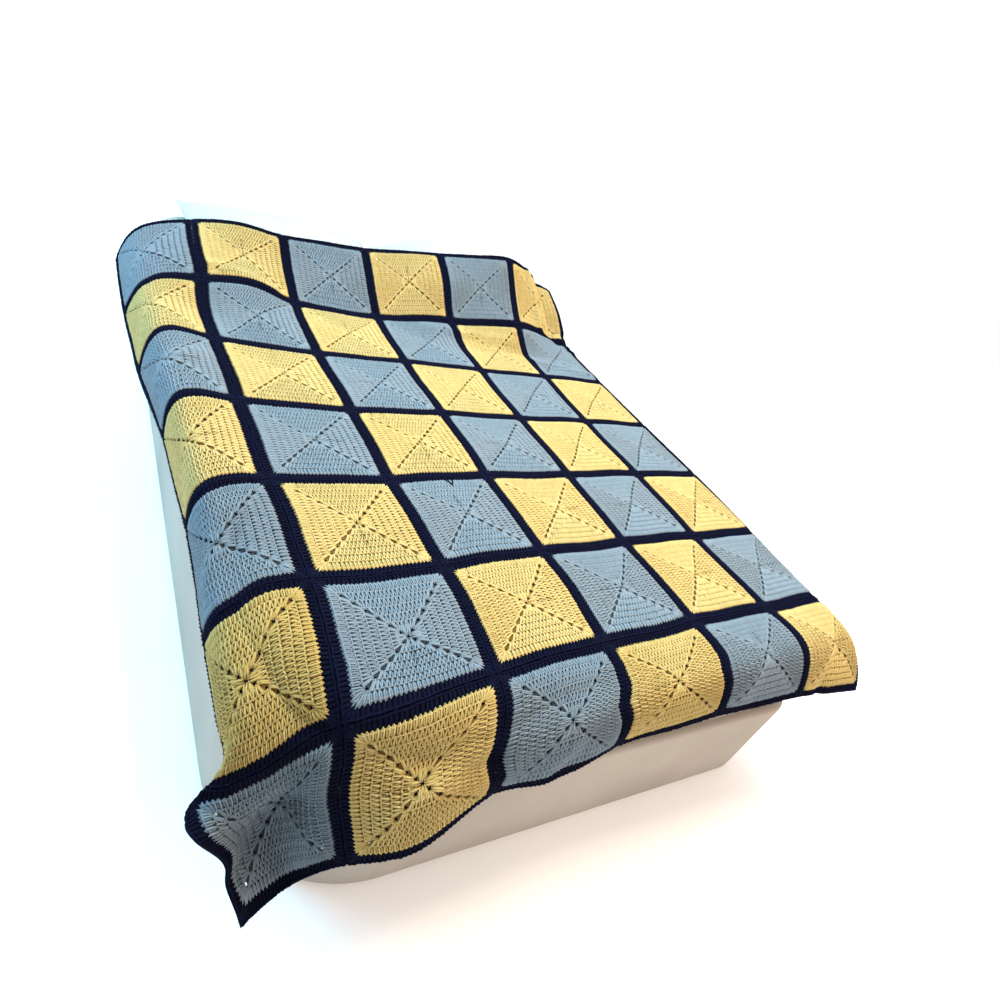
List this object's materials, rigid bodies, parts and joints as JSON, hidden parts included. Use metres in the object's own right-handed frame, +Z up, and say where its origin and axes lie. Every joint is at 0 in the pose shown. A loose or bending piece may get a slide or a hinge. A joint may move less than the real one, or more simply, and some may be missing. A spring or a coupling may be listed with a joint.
{
  "type": "granny square blanket draped over a plain mattress and bed base with pillows",
  "caption": "Crocheted granny square blanket in blue and yellow squares with dark edging, draped over a plain bed.",
  "frame": {"origin": "on the floor, under the middle of the whole object's box", "axes": "+Z up, +Y from the foot of the bed to its head, +X to the bed's right"},
  "size_m": [1.4719, 1.9759, 0.729],
  "materials": {
    "yarn_blue": "matte",
    "yarn_yellow": "matte",
    "yarn_navy": "matte",
    "ticking_white": "matte",
    "cover_cream": "matte",
    "pillow_white": "matte"
  },
  "bodies": {
    "root": {"divan_base": "cover_cream", "mattress": "ticking_white", "pillow_left": "pillow_white", "pillow_right": "pillow_white", "square_row1_col1": "yarn_blue", "square_row1_col2": "yarn_yellow", "square_row1_col3": "yarn_blue", "square_row1_col4": "yarn_yellow", "square_row1_col5": "yarn_blue", "square_row1_col6": "yarn_yellow", "square_row2_col1": "yarn_yellow", "square_row2_col2": "yarn_blue", "square_row2_col3": "yarn_yellow", "square_row2_col4": "yarn_blue", "square_row2_col5": "yarn_yellow", "square_row2_col6": "yarn_blue", "square_row3_col1": "yarn_blue", "square_row3_col2": "yarn_yellow", "square_row3_col3": "yarn_blue", "square_row3_col4": "yarn_yellow", "square_row3_col5": "yarn_blue", "square_row3_col6": "yarn_yellow", "square_row4_col1": "yarn_yellow", "square_row4_col2": "yarn_blue", "square_row4_col3": "yarn_yellow", "square_row4_col4": "yarn_blue", "square_row4_col5": "yarn_yellow", "square_row4_col6": "yarn_blue", "square_row5_col1": "yarn_blue", "square_row5_col2": "yarn_yellow", "square_row5_col3": "yarn_blue", "square_row5_col4": "yarn_yellow", "square_row5_col5": "yarn_blue", "square_row5_col6": "yarn_yellow", "square_row6_col1": "yarn_yellow", "square_row6_col2": "yarn_blue", "square_row6_col3": "yarn_yellow", "square_row6_col4": "yarn_blue", "square_row6_col5": "yarn_yellow", "square_row6_col6": "yarn_blue", "square_row7_col1": "yarn_blue", "square_row7_col2": "yarn_yellow", "square_row7_col3": "yarn_blue", "square_row7_col4": "yarn_yellow", "square_row7_col5": "yarn_blue", "square_row7_col6": "yarn_yellow"}
  },
  "joints": []
}
